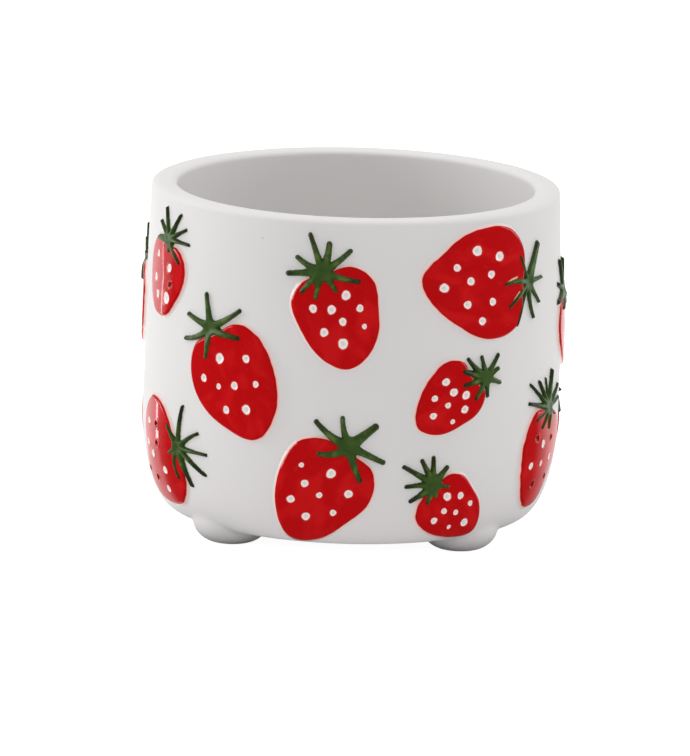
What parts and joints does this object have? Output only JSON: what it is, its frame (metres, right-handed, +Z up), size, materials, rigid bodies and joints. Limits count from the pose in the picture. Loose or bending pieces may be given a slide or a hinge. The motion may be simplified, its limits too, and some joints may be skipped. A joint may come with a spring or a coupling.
{
  "type": "footed ceramic planter",
  "caption": "Small round white-glazed ceramic planter on bun feet, with raised red strawberries scattered round its side.",
  "frame": {"origin": "on the ground under the middle of the pot", "axes": "+Z up through the middle of the pot, -Y towards the front, +X to the right of someone facing the front"},
  "size_m": [0.1312, 0.1317, 0.106],
  "materials": {
    "white_glaze": "glossy clear glaze over a white body",
    "red_glaze": "glossy red, brushed on by hand",
    "green_glaze": "glossy dark green, brushed on by hand"
  },
  "bodies": {
    "root": {"pot_body": "white_glaze", "foot_front_left": "white_glaze", "foot_front_right": "white_glaze", "foot_back_right": "white_glaze", "foot_back_left": "white_glaze", "strawberry_01": "red_glaze", "strawberry_02": "red_glaze", "strawberry_03": "red_glaze", "strawberry_04": "red_glaze", "strawberry_05": "red_glaze", "strawberry_06": "red_glaze", "strawberry_07": "red_glaze", "strawberry_08": "red_glaze", "strawberry_09": "red_glaze", "strawberry_10": "red_glaze", "strawberry_11": "red_glaze", "strawberry_12": "red_glaze", "strawberry_13": "red_glaze", "strawberry_14": "red_glaze", "strawberry_15": "red_glaze", "strawberry_16": "red_glaze", "strawberry_17": "red_glaze", "strawberry_18": "red_glaze", "strawberry_19": "red_glaze", "strawberry_20": "red_glaze", "leaf_cap_01": "green_glaze", "leaf_cap_02": "green_glaze", "leaf_cap_03": "green_glaze", "leaf_cap_04": "green_glaze", "leaf_cap_05": "green_glaze", "leaf_cap_06": "green_glaze", "leaf_cap_07": "green_glaze", "leaf_cap_08": "green_glaze", "leaf_cap_09": "green_glaze", "leaf_cap_10": "green_glaze", "leaf_cap_11": "green_glaze", "leaf_cap_12": "green_glaze", "leaf_cap_13": "green_glaze", "leaf_cap_14": "green_glaze", "leaf_cap_15": "green_glaze", "leaf_cap_16": "green_glaze", "leaf_cap_17": "green_glaze", "leaf_cap_18": "green_glaze", "leaf_cap_19": "green_glaze", "leaf_cap_20": "green_glaze"}
  },
  "joints": []
}
